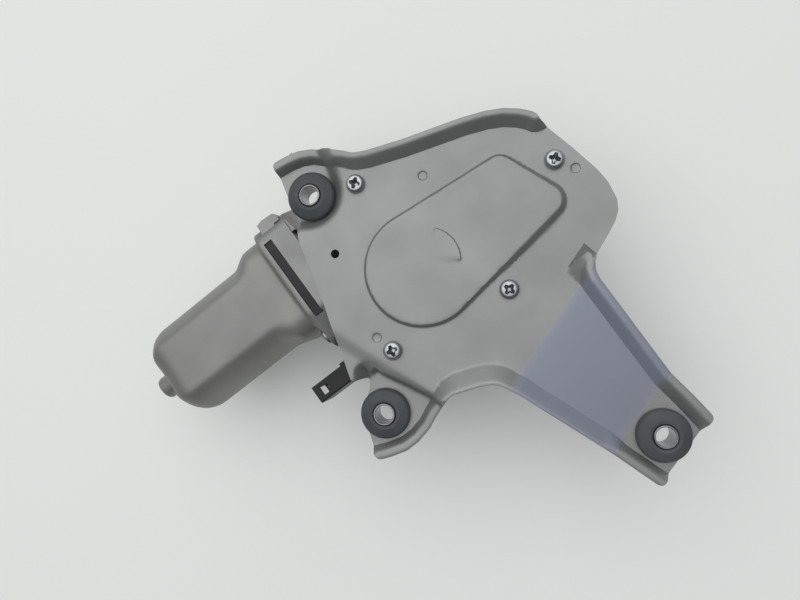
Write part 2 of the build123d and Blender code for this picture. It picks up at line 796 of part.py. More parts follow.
# ---- armature -----------------------------------------------------------------------------
worm_tip = worm_pitch / 2 + module
worm_root = worm_pitch / 2 - 1.25 * module
worm_start = wheel_x - worm_length / 2
thread_start = wheel_x - 4.5 * lead
nose_end = tunnel_end - wall - 2.1

with BuildPart() as worm_thread:
    with BuildLine():
        Helix(lead, 9 * lead, worm_root)
    with BuildSketch(Plane.XZ):
        with BuildLine():
            low, high = worm_root - 0.3, worm_tip
            reach = [lead / 4 - (r - worm_pitch / 2) * tan(pressure) for r in (low, high)]
            Polyline(
                (low, -reach[0]), (high, -reach[1]), (high, reach[1]), (low, reach[0]), close=True,
            )
        make_face()
    sweep(is_frenet=True)

with BuildPart() as armature_shaft:
    with Locations(motor_axis(thread_start)):
        add(worm_thread.part)
    with Locations(motor_axis(worm_start - 6)):
        Cylinder(worm_root, worm_length + 12, align=base)
        Cylinder(worm_tip + 1, 6, align=base, mode=Mode.SUBTRACT)
    with Locations(motor_axis(worm_start + worm_length)):
        Cylinder(worm_tip + 1, 8, align=base, mode=Mode.SUBTRACT)
    with Locations(motor_axis(rear_end)):
        Cylinder(rear_journal / 2, core_start - rear_end, align=base)
    with Locations(motor_axis(core_start - 10)):
        Cylinder(motor_shaft / 2, worm_start - core_start + 10, align=base)
    with Locations(motor_axis(worm_start)):
        Cylinder(3.0, nose_end - worm_start, align=base)
keep(armature_shaft.part, "armature_shaft")

slots = 8
with BuildPart() as armature_core:
    with BuildSketch(across(core_start)):
        with Locations((axis_y, axis_z)):
            Circle(armature_radius)
            Circle(motor_shaft / 2, mode=Mode.SUBTRACT)
            with PolarLocations(9.0, slots):
                Circle(2.3, mode=Mode.SUBTRACT)
                with Locations((3, 0)):
                    Rectangle(6, 1.4, mode=Mode.SUBTRACT)
    extrude(amount=core_length)
keep(armature_core.part, "armature_core")

with BuildPart() as armature_windings:
    for x in (core_start - winding_length, core_end):
        with Locations(motor_axis(x)):
            Cylinder(armature_radius - 1.1, winding_length, align=base)
    chamfer(armature_windings.edges(), 2.2)
    with Locations(motor_axis(core_start)):
        with PolarLocations(9.0, slots):
            Cylinder(2.3, core_length, align=base)
    with Locations(motor_axis(core_start - 10)):
        Cylinder(motor_shaft / 2, core_length + 20, align=base, mode=Mode.SUBTRACT)
keep(armature_windings.part, "armature_windings")

with BuildPart() as commutator:
    with BuildSketch(across(commutator_start)):
        with Locations((axis_y, axis_z)):
            Circle(commutator_radius)
            Circle(motor_shaft / 2, mode=Mode.SUBTRACT)
            with PolarLocations(commutator_radius, slots, start_angle=22.5):
                Rectangle(1.2, 0.5, mode=Mode.SUBTRACT)
    extrude(amount=commutator_length)
keep(commutator.part, "commutator")


def sleeve_bearing(outer, inner, start, length, name):
    """Sintered bearing on the motor's axis."""
    with BuildPart() as bearing:
        with BuildSketch(across(start)):
            with Locations((axis_y, axis_z)):
                Circle(outer)
                Circle(inner, mode=Mode.SUBTRACT)
        extrude(amount=length)
    keep(bearing.part, name)


sleeve_bearing(cup_radius - can_steel, rear_journal / 2 + running, cup_floor, 6.0, "rear_bearing")
sleeve_bearing(tunnel_bore, motor_shaft / 2 + running, inner_end, 6.0, "front_bearing")
sleeve_bearing(tunnel_bore, 3.0 + running, nose_end - 3.6, 3.6, "worm_bearing")

with BuildPart() as thrust_ball:
    with Locations((nose_end + 1.1, axis_y, axis_z)):
        Sphere(1.0)
keep(thrust_ball.part, "thrust_ball")

# ---- magnets and brush gear ---------------------------------------------------------------
magnet_start = core_start - magnet_overhang
for name, side in (("magnet_upper", 1), ("magnet_lower", -1)):
    with BuildPart() as magnet:
        with BuildSketch(across(magnet_start)):
            with Locations((axis_y, axis_z)):
                Circle(can_radius - can_steel)
                Circle(armature_radius + 0.7, mode=Mode.SUBTRACT)
            with BuildLine():
                Polyline(
                    (axis_y, axis_z), (axis_y + side * 30, axis_z + 34),
                    (axis_y + side * 30, axis_z - 34), close=True,
                )
            make_face(mode=Mode.INTERSECT)
        extrude(amount=core_end - magnet_start)
    keep(magnet.part, name)

holder_face = slot[0] - slot[2] / 2 + 0.1
holder_thick = slot[2] - 0.2
box_start, box_end = 7.8, 20.6  # from the motor's axis
brush_start = commutator_radius + brush_gap
with BuildPart() as brush_holder:
    with BuildSketch(across(holder_face)):
        with Locations((slot[1], axis_z + 2.7)):
            Rectangle(slot[3] - 0.3, holder_height)
        with Locations((axis_y, axis_z)):
            Circle(5.5, mode=Mode.SUBTRACT)
    extrude(amount=holder_thick)
    for side in (1, -1):
        with Locations((0, axis_y + side * (box_start + box_end) / 2, axis_z)):
            with Locations((brush_at, 0, 0)):
                Box(8, box_end - box_start, 8)
            with Locations((brush_at + 4, 0, 0)):
                Box(holder_face - brush_at - 4, box_end - box_start, 8,
                    align=(Align.MIN, Align.CENTER, Align.CENTER))
        with Locations((brush_at, axis_y + side * (box_start + box_end - 1.2) / 2, axis_z)):
            Box(brush_size + 0.16, box_end - box_start - 1.2, brush_size + 0.16, mode=Mode.SUBTRACT)
keep(brush_holder.part, "brush_holder")

spring_start = brush_start + brush_length - 3.5
spring_end = box_end - 1.2
for name, side in (("upper", 1), ("lower", -1)):
    outward = Plane(origin=(brush_at, axis_y, axis_z), x_dir=(1, 0, 0), z_dir=(0, side, 0))
    with BuildPart() as brush:
        with BuildSketch(outward.offset(brush_start)):
            Rectangle(brush_size, brush_size)
        extrude(amount=brush_length)
        with BuildSketch(outward.offset(brush_start + brush_length)):
            Circle(1.9)
        extrude(amount=-5.0, mode=Mode.SUBTRACT)
    keep(brush.part, f"brush_{name}")
    with BuildPart() as spring:
        with Locations(outward.offset(spring_start)):
            Cylinder(1.6, spring_end - spring_start, align=base)
            Cylinder(1.2, spring_end - spring_start, align=base, mode=Mode.SUBTRACT)
    keep(spring.part, f"brush_spring_{name}")

# ---- connector ----------------------------------------------------------------------------
socket_wall = 1.1
socket_depth = 12.0
terminal_pitch = 3.8
terminal_tip = connector_end + 5.5
with BuildPart() as connector:
    with Locations((connector_end, connector_y, connector_z)):
        Box(inner_end - connector_end, connector_width, connector_height,
            align=(Align.MIN, Align.CENTER, Align.CENTER))
    fillet(connector.edges().filter_by(Axis.X), 0.8)
    with Locations((-90.0, connector_y, connector_z)):
        Box(2.0, connector_width + 1.6, connector_height + 1.6)
    with Locations((connector_end, connector_y, connector_z)):
        Box(socket_depth, connector_width - 2 * socket_wall, connector_height - 2 * socket_wall,
            align=(Align.MIN, Align.CENTER, Align.CENTER), mode=Mode.SUBTRACT)
    with Locations((connector_end + 4.5, connector_y, connector_z + connector_height / 2)):
        Box(3.5, 3.5, 6, mode=Mode.SUBTRACT)
    with Locations(*[
        (terminal_tip, connector_y, connector_z + (i - 1.5) * terminal_pitch) for i in range(4)
    ]):
        Box(25, 0.8, 2.4, align=(Align.MIN, Align.CENTER, Align.CENTER), mode=Mode.SUBTRACT)
keep(connector.part, "connector")

with BuildPart() as connector_terminals:
    with Locations(*[
        (terminal_tip, connector_y, connector_z + (i - 1.5) * terminal_pitch) for i in range(4)
    ]):
        Box(25, 0.8, 2.4, align=(Align.MIN, Align.CENTER, Align.CENTER))
keep(connector_terminals.part, "connector_terminals")

with BuildPart() as park_contacts:
    for offset_y in (-2.4, 0, 2.4):
        with Locations((inner_end, connector_y + offset_y, wheel_top + 0.6)):
            Box(15.0, 1.5, 0.3, align=(Align.MIN, Align.CENTER, Align.MIN))
keep(park_contacts.part, "park_contacts")
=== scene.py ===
import json
from math import ceil, cos, hypot, pi, radians, sin, tan

import bmesh
import bpy
import numpy as np
from mathutils import Matrix, Vector
from mathutils.geometry import convex_hull_2d, delaunay_2d_cdt


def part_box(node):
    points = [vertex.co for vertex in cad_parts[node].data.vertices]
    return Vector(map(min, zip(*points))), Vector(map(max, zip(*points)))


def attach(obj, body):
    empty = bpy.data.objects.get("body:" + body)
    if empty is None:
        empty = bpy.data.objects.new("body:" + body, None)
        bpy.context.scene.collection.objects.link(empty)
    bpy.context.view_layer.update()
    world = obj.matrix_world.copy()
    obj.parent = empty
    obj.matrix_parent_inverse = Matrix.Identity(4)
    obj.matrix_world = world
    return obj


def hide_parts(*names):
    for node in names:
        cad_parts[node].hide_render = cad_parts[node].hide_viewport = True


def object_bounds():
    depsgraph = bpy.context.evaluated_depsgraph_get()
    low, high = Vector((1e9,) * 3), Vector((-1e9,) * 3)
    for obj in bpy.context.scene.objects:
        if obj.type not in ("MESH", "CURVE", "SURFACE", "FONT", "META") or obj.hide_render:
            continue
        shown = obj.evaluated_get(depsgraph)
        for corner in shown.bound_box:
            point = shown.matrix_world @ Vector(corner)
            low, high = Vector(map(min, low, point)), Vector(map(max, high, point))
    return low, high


bl_info = {
    "name": "Wiper Motor Dressing",
    "version": (1, 0, 0),
    "blender": (4, 5, 0),
    "location": "View3D > Sidebar > Wiper Motor",
    "description": "Visible skin, finishes and studio of a rear wiper gearmotor",
    "category": "Object",
}

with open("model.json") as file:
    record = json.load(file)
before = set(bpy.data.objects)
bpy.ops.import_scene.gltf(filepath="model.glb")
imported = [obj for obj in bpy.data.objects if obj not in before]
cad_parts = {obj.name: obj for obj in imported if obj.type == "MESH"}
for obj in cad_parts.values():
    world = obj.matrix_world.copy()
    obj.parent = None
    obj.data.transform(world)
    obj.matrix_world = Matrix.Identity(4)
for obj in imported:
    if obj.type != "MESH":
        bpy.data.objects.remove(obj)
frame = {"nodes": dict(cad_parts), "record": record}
cad_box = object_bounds()

# Lengths are in millimetres, in the frame's own directions.
MM = 0.001
BRIM = 4.5
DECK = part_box("cover_bracket")[1].z / MM - BRIM

MOUNTS = {"left": (-60.2, 50.6), "lower": (-87.5, -35.7), "right": (-9.3, -101.2)}
SCREWS = [(-42.7, 40.7), (19.9, 1.3), (-21.2, -26.3), (-69.2, -18.5)]
YOKE_SCREWS = [(3.6, 30.0), (57.5, 7.0)]
DOWEL = (-65.1, 24.4)
HALF_PIERCED = [(-20.8, 27.1), (23.9, -5.8), (-71.3, -11.0)]

# Sheet outline, anticlockwise from the upper ear, in runs with and without a brim.
UPPER_BRIM = [
    (24.3, 18.1), (23.4, 19.9), (20.8, 23.2), (16.5, 27.1), (10.7, 30.6),
    (3.2, 33.9), (-7.4, 37.7), (-19.2, 41.9), (-31.9, 47.2), (-36.3, 49.7), (-38.6, 52.6),
    (-42.0, 56.2), (-44.6, 60.4), (-48.6, 64.8), (-53.5, 67.7), (-58.5, 69.2), (-64.9, 70.4),
]
LEFT_EDGE = [
    (-66.0, 65.8), (-67.8, 59.1), (-69.9, 51.0), (-70.6, 43.0), (-73.5, 37.4), (-76.8, 24.7),
    (-80.2, 11.7), (-84.5, -1.7), (-89.2, -17.1), (-89.4, -18.6), (-84.2, -20.6),
    (-87.2, -24.4), (-93.0, -28.6), (-96.9, -36.0), (-100.2, -46.0),
]
LOWER_BRIM = [
    (-99.5, -48.4), (-95.7, -49.9), (-88.5, -51.8), (-82.5, -51.6), (-76.0, -50.0),
    (-71.6, -47.9), (-66.9, -46.2), (-61.5, -44.4), (-50.8, -48.0), (-45.4, -50.6),
    (-41.6, -58.1), (-27.9, -95.2), (-21.2, -114.9),
]
ARM_BRIM = [(8.2, -105.2), (7.3, -94.9), (5.9, -84.0), (5.9, -42.0), (6.6, -38.6), (8.9, -35.7)]
RIGHT_EDGE = [
    (10.9, -34.8), (19.3, -31.2), (23.1, -29.3), (26.2, -26.9), (28.2, -23.6), (29.6, -16.6),
    (29.4, -11.0), (27.7, 0.0), (25.0, 13.4), (24.2, 15.6),
]
BRIMS = ((UPPER_BRIM, 6.0), (LOWER_BRIM, 8.0), (ARM_BRIM, 5.0))  # edge, rounding of its corners
CORNER = 2.6
BOSS = [(-42.0, -0.6, 21.0), (2.0, 10.2, 5.4), (8.6, -8.6, 5.4)]
BOSS_MIDDLE, BOSS_WALL = (-20.0, -2.0), 1.0
BOSS_WIDENING, BOSS_TURN = 1.1, 0.7  # more wall where it faces away from this angle in radians
ARM_FOLD, ARM_FOOT, ARM_TURN = 38.0, 81.2, radians(19.3)
EAR_STEP = [
    (-80.0, -20.6), (-79.0, -23.5), (-74.6, -31.4), (-70.8, -38.5), (-64.5, -51.0),
    (-60.0, -80.0), (-130.0, -80.0), (-130.0, -20.6),
]
EAR_RIDGE = [(-78.6, -9.9), (-71.9, -26.5)]
GUSSET = {"left": (-1.7, -33.0), "foot": (-0.5, -40.6), "top": (9.7, -29.1)}
EAR_LEAD = 1.3  # fall of the sheet before it steps down
JOGGLE, JOGGLE_SPREAD = 3.8, 1.8  # step to the upper ear, and its growth beside the brim
ARCH, ARCH_SHARE = (-83.4, -19.4), 0.7  # scoop, as deep as this share of the pads' drop
FAN = (-38.4, 0.2)
FAN_REACH, FAN_HEIGHT = 12.0, 0.6
FAN_TURNS = (-38, 42)  # degrees, its two straight sides
DIMPLE, DIMPLE_DEPTH = 1.7, 0.45
SCREW_HOLE, DOWEL_HOLE, PAD_HOLE = 2.25, 1.7, 6.5
SLEEVE_OUTER, SLEEVE_BORE = 4.2, 3.5
ROOT_END = 60.0  # along the arm, where its right brim is a brim again


# ---- plane geometry -----------------------------------------------------------------------
def circle(x, y, radius, count=48):
    return [
        (x + radius * cos(2 * pi * i / count), y + radius * sin(2 * pi * i / count))
        for i in range(count)
    ]


def hull(points):
    return [points[i] for i in convex_hull_2d(points)]


def resampled(path, spacing, closed=False):
    """Points along a path at about this spacing, its corners kept."""
    ends = list(path[1:]) + ([path[0]] if closed else [])
    out = []
    for a, b in zip(path, ends):
        steps = max(1, ceil(hypot(b[0] - a[0], b[1] - a[1]) / spacing))
        out += [
            (a[0] + (b[0] - a[0]) * i / steps, a[1] + (b[1] - a[1]) * i / steps)
            for i in range(steps)
        ]
    return out if closed else out + [path[-1]]


def filleted(path, radius, closed=False, steps=5):
    """A path with arcs of up to this radius in its corners."""
    count = len(path)
    out = [] if closed else [path[0]]
    for i in range(0 if closed else 1, count if closed else count - 1):
        p, before, after = (Vector(path[k % count]) for k in (i, i - 1, i + 1))
        back, on = before - p, after - p
        turn = pi - back.angle(on)
        if turn < 0.02:
            out.append(tuple(p))
            continue
        cut = min(radius * tan(turn / 2), 0.45 * back.length, 0.45 * on.length)
        a, b = p + back.normalized() * cut, p + on.normalized() * cut
        for k in range(steps + 1):
            t = k / steps
            out.append(tuple(a * (1 - t) ** 2 + p * 2 * t * (1 - t) + b * t * t))
    return out if closed else out + [path[-1]]


def distance(points, path, closed=False):
    """Distance of each point from a path."""
    ends = list(path[1:]) + ([path[0]] if closed else [])
    best = np.full(len(points), 1e9)
    for a, b in zip(path, ends):
        a, b = np.array(a), np.array(b)
        along = b - a
        t = np.clip((points - a) @ along / max(along @ along, 1e-12), 0, 1)
        off = points - (a + t[:, None] * along)
        best = np.minimum(best, np.hypot(off[:, 0], off[:, 1]))
    return best


def inside(points, ring):
    """Which points lie inside a closed ring."""
    hit = np.zeros(len(points), bool)
    x, y = points[:, 0], points[:, 1]
    for (ax, ay), (bx, by) in zip(ring, list(ring[1:]) + [ring[0]]):
        if ay != by:
            crosses = (ay > y) != (by > y)
            hit ^= crosses & (x < (bx - ax) * (y - ay) / (by - ay) + ax)
    return hit


def depth_in(points, ring):
    """Signed distance from a closed ring, positive inside."""
    away = distance(points, ring, True)
    return np.where(inside(points, ring), away, -away)


def rows(path, offsets, spacing, closed=False):
    """Rows of points beside a path; a positive offset lies on its left."""
    line = resampled(path, spacing, closed)
    out = []
    for i, p in enumerate(line):
        before = line[i - 1] if i or closed else p
        after = line[(i + 1) % len(line)] if closed or i + 1 < len(line) else p
        dx, dy = after[0] - before[0], after[1] - before[1]
        size = hypot(dx, dy) or 1
        out += [(p[0] - dy / size * off, p[1] + dx / size * off) for off in offsets]
    return out


def slope(values, start, end, bend=0.5):
    """0 before start and 1 past end, straight between them, its corners rounded by bend."""
    return (np.hypot(values - start, bend) - np.hypot(values - end, bend)) / (2 * (end - start)) + 0.5


def softer_min(a, b, bend):
    """The lesser of two values, with the corner between them rounded by bend."""
    return (a + b - np.hypot(a - b, bend)) / 2


def beside(points, a, b):
    """Signed distance from the line through a and b, positive on its left."""
    dx, dy = b[0] - a[0], b[1] - a[1]
    return (dx * (points[:, 1] - a[1]) - dy * (points[:, 0] - a[0])) / hypot(dx, dy)


# ---- mesh helpers -------------------------------------------------------------------------
def piece(name, verts, faces, material, smooth=35):
    """Object from vertices in millimetres; edges sharper than smooth degrees stay sharp."""
    mesh = bpy.data.meshes.new(name)
    mesh.from_pydata([Vector(v) * MM for v in verts], [], faces)
    mesh.materials.append(material)
    obj = bpy.data.objects.new(name, mesh)
    bpy.context.scene.collection.objects.link(obj)
    tidy(obj, smooth)
    return obj


def tidy(obj, smooth, outward=True):
    """Drop loose points, merge doubles, point the faces outwards and set smooth shading."""
    work = bmesh.new()
    work.from_mesh(obj.data)
    loose = [v for v in work.verts if not v.link_faces]
    bmesh.ops.delete(work, geom=loose, context="VERTS")
    bmesh.ops.remove_doubles(work, verts=work.verts, dist=1e-7)
    if outward:
        bmesh.ops.recalc_face_normals(work, faces=work.faces)
    work.to_mesh(obj.data)
    work.free()
    obj.data.shade_smooth()
    obj.data.set_sharp_from_angle(angle=radians(smooth))


def bake(obj):
    """Turn an object's modifiers into plain mesh."""
    bpy.context.view_layer.update()
    evaluated = obj.evaluated_get(bpy.context.evaluated_depsgraph_get())
    mesh = bpy.data.meshes.new_from_object(evaluated)
    obj.modifiers.clear()
    obj.data = mesh


def turned(profile, centre, count=96):
    """Closed profile of (radius, height) pairs turned about an upright axis through centre."""
    verts = []
    for r, h in profile:
        for i in range(count):
            place = (r * cos(2 * pi * i / count), r * sin(2 * pi * i / count), h)
            verts.append([c + t for c, t in zip(centre, place)])
    rings = len(profile)
    faces = []
    for j in range(rings):
        k = (j + 1) % rings
        for i in range(count):
            n = (i + 1) % count
            faces.append((j * count + i, j * count + n, k * count + n, k * count + i))
    return verts, faces


def arc(centre, radius, start, end, steps=6):
    """Points on an arc, angles in degrees."""
    return [
        (
            centre[0] + radius * cos(radians(start + (end - start) * i / steps)),
            centre[1] + radius * sin(radians(start + (end - start) * i / steps)),
        )
        for i in range(steps + 1)
    ]


# ---- finishes -----------------------------------------------------------------------------
def nodes_for(name):
    material = bpy.data.materials.new(name)
    material.use_nodes = True
    tree = material.node_tree
    tree.nodes.clear()
    shader = tree.nodes.new("ShaderNodeBsdfPrincipled")
    out = tree.nodes.new("ShaderNodeOutputMaterial")
    tree.links.new(shader.outputs["BSDF"], out.inputs["Surface"])
    coords = tree.nodes.new("ShaderNodeTexCoord")
    return material, tree, shader, coords.outputs["Object"]


def noise(tree, vector, scale, detail):
    node = tree.nodes.new("ShaderNodeTexNoise")
    node.inputs["Scale"].default_value = scale
    node.inputs["Detail"].default_value = detail
    node.inputs["Roughness"].default_value = 0.55
    tree.links.new(vector, node.inputs["Vector"])
    return node.outputs["Fac"]


def ramp(tree, factor, stops):
    node = tree.nodes.new("ShaderNodeValToRGB")
    elements = node.color_ramp.elements
    while len(elements) < len(stops):
        elements.new(0.5)
    for element, (place, tint) in zip(elements, stops):
        element.position = place
        element.color = (*tint, 1) if hasattr(tint, "__len__") else (tint,) * 3 + (1,)
    tree.links.new(factor, node.inputs["Fac"])
    return node.outputs["Color"]


def mixed(tree, factor, a, b):
    node = tree.nodes.new("ShaderNodeMix")
    node.data_type = "RGBA"
    for socket, value in (("Factor", factor), ("A", a), ("B", b)):
        target = [s for s in node.inputs if s.name == socket and s.enabled][0]
        if hasattr(value, "is_output"):
            tree.links.new(value, target)
        else:
            target.default_value = value if socket == "Factor" else (*value, 1)
    return [s for s in node.outputs if s.enabled][0]


def bump(tree, shader, height, strength, depth):
    node = tree.nodes.new("ShaderNodeBump")
    node.inputs["Strength"].default_value = strength
    node.inputs["Distance"].default_value = depth * MM
    tree.links.new(height, node.inputs["Height"])
    last = shader.inputs["Normal"]
    if last.is_linked:
        tree.links.new(last.links[0].from_socket, node.inputs["Normal"])
    tree.links.new(node.outputs["Normal"], last)


def metal(name, base, roughness, spread=0.06, grain=900.0, pitting=0.03, tone=0.10, metallic=1.0):
    """Plated or bare metal: cloudy tone, uneven gloss and a fine grain."""
    material, tree, shader, coords = nodes_for(name)
    cloud = noise(tree, coords, 28.0, 5.0)
    fine = noise(tree, coords, grain, 3.0)
    low = tuple(c * (1 - tone) for c in base)
    high = tuple(min(1, c * (1 + tone)) for c in base)
    tree.links.new(ramp(tree, cloud, [(0.3, low), (0.7, high)]), shader.inputs["Base Color"])
    gloss = ramp(tree, noise(tree, coords, 60.0, 6.0), [
        (0.3, roughness - spread), (0.7, roughness + spread),
    ])
    tree.links.new(gloss, shader.inputs["Roughness"])
    shader.inputs["Metallic"].default_value = metallic
    bump(tree, shader, fine, 0.5, pitting)
    return material


def plastic(name, base, roughness, grain=1400.0, depth=0.02, mottle=0.25):
    """Moulded plastic or rubber: faint mottling and a fine spark-eroded grain."""
    material, tree, shader, coords = nodes_for(name)
    cloud = noise(tree, coords, 40.0, 5.0)
    low = tuple(c * (1 - mottle) for c in base)
    high = tuple(c * (1 + mottle) for c in base)
    tree.links.new(ramp(tree, cloud, [(0.3, low), (0.7, high)]), shader.inputs["Base Color"])
    gloss = ramp(tree, noise(tree, coords, 90.0, 4.0), [
        (0.35, roughness - 0.06), (0.65, roughness + 0.06),
    ])
    tree.links.new(gloss, shader.inputs["Roughness"])
    shader.inputs["Specular IOR Level"].default_value = 0.25
    bump(tree, shader, noise(tree, coords, grain, 2.0), 0.5, depth)
    return material


def zinc_sheet(name, base, painted_reflection_tint, roughness):
    """Satin zinc on the drawn sheet, with a painted cool reflection where the arm slopes."""
    material, tree, shader, coords = nodes_for(name)
    reach, blur = 100, 0.012
    along = tree.nodes.new("ShaderNodeVectorMath")
    along.operation = "DOT_PRODUCT"
    along.inputs[1].default_value = (sin(ARM_TURN) / MM, -cos(ARM_TURN) / MM, 0)
    tree.links.new(coords, along.inputs[0])
    span = tree.nodes.new("ShaderNodeMapRange")
    span.inputs["From Min"].default_value = 0
    span.inputs["From Max"].default_value = reach
    tree.links.new(along.outputs["Value"], span.inputs["Value"])
    # Painted reflection: between the arm's fold and foot the base colour turns to a bluish tint,
    # standing in for the cooler surroundings that the sloping sheet reflects.
    sloping = ramp(tree, span.outputs["Result"], [
        (ARM_FOLD / reach - blur, 0.0), (ARM_FOLD / reach + blur, 1.0),
        (ARM_FOOT / reach - blur, 1.0), (ARM_FOOT / reach + blur, 0.0),
    ])
    cloud = noise(tree, coords, 30.0, 6.0)
    low = tuple(c * 0.93 for c in base)
    high = tuple(min(1, c * 1.06) for c in base)
    plate = ramp(tree, cloud, [(0.3, low), (0.7, high)])
    tree.links.new(mixed(tree, sloping, plate, painted_reflection_tint), shader.inputs["Base Color"])
    gloss = ramp(tree, noise(tree, coords, 45.0, 6.0), [
        (0.3, roughness - 0.05), (0.7, roughness + 0.07),
    ])
    tree.links.new(gloss, shader.inputs["Roughness"])
    shader.inputs["Metallic"].default_value = 0.6
    bump(tree, shader, noise(tree, coords, 1100.0, 3.0), 0.4, 0.02)
    bump(tree, shader, noise(tree, coords, 55.0, 3.0), 0.25, 0.10)
    return material


# ---- settings -----------------------------------------------------------------------------
def length(name, description, default):
    return bpy.props.FloatProperty(
        name=name, description=description, default=default * MM, unit="LENGTH", precision=5,
    )


def colour(name, description, default):
    return bpy.props.FloatVectorProperty(
        name=name, description=description, default=default, size=3, min=0, max=1,
        subtype="COLOR",
    )


class BracketSettings(bpy.types.PropertyGroup):
    sheet: length("Sheet", "Thickness of the bracket's sheet", 1.6)
    brim: length("Brim height", "Height of the brim above the floor inside it", BRIM)
    boss: length("Boss height", "Height of the raised oval over the gears", 2.0)
    drop: length("Pad drop", "Depth of the mounting pads below the floor", 9.0)
    zinc: colour("Zinc", "Colour of the plated sheet", (0.28, 0.285, 0.28))
    # Painted reflection: this bluish tint goes on the sloping arm in place of the cool light that the
    # slope reflects. It is not a colour of the sheet.
    slope: colour("Arm slope", "Cooler colour of the sloping arm", (0.35, 0.375, 0.45))


class MotorSettings(bpy.types.PropertyGroup):
    radius: length("Can radius", "Outer radius of the motor can", 20.6)
    flat: length("Half height", "From the motor's axis to the can's flats", 17.0)
    wall: length("Can sheet", "Thickness of the can's sheet", 1.6)
    steel: colour("Steel", "Colour of the plated can", (0.26, 0.26, 0.245))


class RubberSettings(bpy.types.PropertyGroup):
    rubber: colour("Rubber", "Colour of the grommets", (0.075, 0.082, 0.088))
    steel: colour("Sleeve steel", "Colour of the sleeves and screws", (0.42, 0.44, 0.45))


class StageSettings(bpy.types.PropertyGroup):
    background: colour("Background", "Colour that the camera sees behind it", (0.86, 0.87, 0.85))
    key: bpy.props.FloatProperty(
        name="Key light", description="Power of the large soft lamp", default=4.5, unit="POWER",
    )


SETTINGS = {
    "wiper_bracket": BracketSettings,
    "wiper_motor": MotorSettings,
    "wiper_rubber": RubberSettings,
    "wiper_stage": StageSettings,
}


# ---- bracket ------------------------------------------------------------------------------
BRIM_ROWS = [0.06, 0.13, 0.21, 0.30, 0.39, 0.48, 0.57, 0.66, 0.75, 0.84, 0.93]  # of its width


def brim_section(points, line):
    """Width of a brim and of the flat lip at its edge, by place."""
    x = points[:, 0]
    if line == 0:
        return np.interp(x, [-46, -38], [5.2, 5.7]), np.interp(x, [-46, -38], [3.3, 2.2])
    if line == 1:
        down = along_arm(points)
        width = np.interp(x, [-72, -65, -56], [5.2, 5.8, 7.4])
        arm_width = np.interp(down, [25, 35, 45, 78, 84], [7.4, 6.8, 6.2, 6.2, 5.2])
        lip = np.interp(x, [-72, -62], [3.3, 1.0])
        arm_lip = np.interp(down, [76, 84], [1.0, 3.0])
        return np.where(x < -56, width, arm_width), np.where(x < -56, lip, arm_lip)
    return np.full(len(points), 6.4), np.full(len(points), 3.0)


def brim_share(points, line):
    """Share of the brim's height: a rounded lip, then a wall down to a crisp foot."""
    away = distance(points, brim_lines()[line])
    width, lip = brim_section(points, line)

    def fallen(place):
        return place - lip + np.hypot(place - lip, 0.7)

    rounding = 0.06 * np.exp(-((away / 0.5) ** 2))
    return np.clip(1 - fallen(away) / fallen(width) - rounding, 0, 1)


def brim_rows(line, shares):
    """Points beside a brim's edge at these shares of its width."""
    pairs = np.array(rows(brim_lines()[line], [0, 1], 1.0))
    edge, inward = pairs[::2], pairs[1::2] - pairs[::2]
    width = brim_section(edge, line)[0][:, None]
    return [tuple(p) for share in shares for p in edge + inward * width * share]


def brim_lines():
    return [filleted(path, rounding) for path, rounding in BRIMS]


def sheet_outline():
    """Edge of the blank; its free corners are rounded."""
    upper, lower, arm = brim_lines()
    return filleted(upper + LEFT_EDGE + lower + arm + RIGHT_EDGE, CORNER, True)


def boss_ring():
    return hull([p for x, y, r in BOSS for p in circle(x, y, r, 72)])


def ear_ring():
    x, y = MOUNTS["left"]
    return hull(circle(x, y, 10.3, 48) + [(x, y), (-95, 62), (-95, 95), (-38, 90)])


def along_arm(points):
    return points[:, 0] * sin(ARM_TURN) - points[:, 1] * cos(ARM_TURN)


def ground_height(points, settings):
    """Height of the sheet's upper face without its brim."""
    boss, drop = settings.boss / MM, settings.drop / MM
    turn = np.arctan2(points[:, 1] - BOSS_MIDDLE[1], points[:, 0] - BOSS_MIDDLE[0]) + BOSS_TURN
    wall = BOSS_WALL + BOSS_WIDENING * np.clip(np.cos(turn), 0, 1) ** 2
    z = boss * slope(depth_in(points, boss_ring()), -wall, 0.0, 0.15)
    z -= drop * slope(along_arm(points), ARM_FOLD, ARM_FOOT, 0.8)
    lip = np.clip(1 - distance(points, brim_lines()[0]) / 9, 0, 1)
    joggle = -JOGGLE - JOGGLE_SPREAD * lip
    z -= drop * slope(depth_in(points, ear_ring()) - 0.8 * lip, joggle, 0.1, 0.7)
    step = slope(depth_in(points, EAR_STEP), -1.6, 0.0, 0.45)
    lead = slope(beside(points, *EAR_RIDGE), -4.6, 0.0, 0.3)
    z -= EAR_LEAD * (1 - lead) * (1 - step) + drop * step
    r = np.hypot(points[:, 0] - ARCH[0], points[:, 1] - ARCH[1])
    z -= ARCH_SHARE * drop * (1 - slope(r, 0.6, 4.6, 0.5)) * (1 - step)
    for x, y in HALF_PIERCED:
        r = np.hypot(points[:, 0] - x, points[:, 1] - y)
        z -= DIMPLE_DEPTH * (1 - slope(r, DIMPLE - 0.15, DIMPLE + 0.15, 0.12))
    dx, dy = points[:, 0] - FAN[0], points[:, 1] - FAN[1]
    r, turn = np.hypot(dx, dy), np.degrees(np.arctan2(dy, dx))
    edge = np.minimum(turn - FAN_TURNS[0], FAN_TURNS[1] - turn) * np.radians(1) * r
    side = np.clip(edge / 0.6, 0, 1)
    climb = slope(r, 1.2, FAN_REACH, 0.2) * (1 - slope(r, FAN_REACH, FAN_REACH + 0.5, 0.15))
    return z + FAN_HEIGHT * side * climb


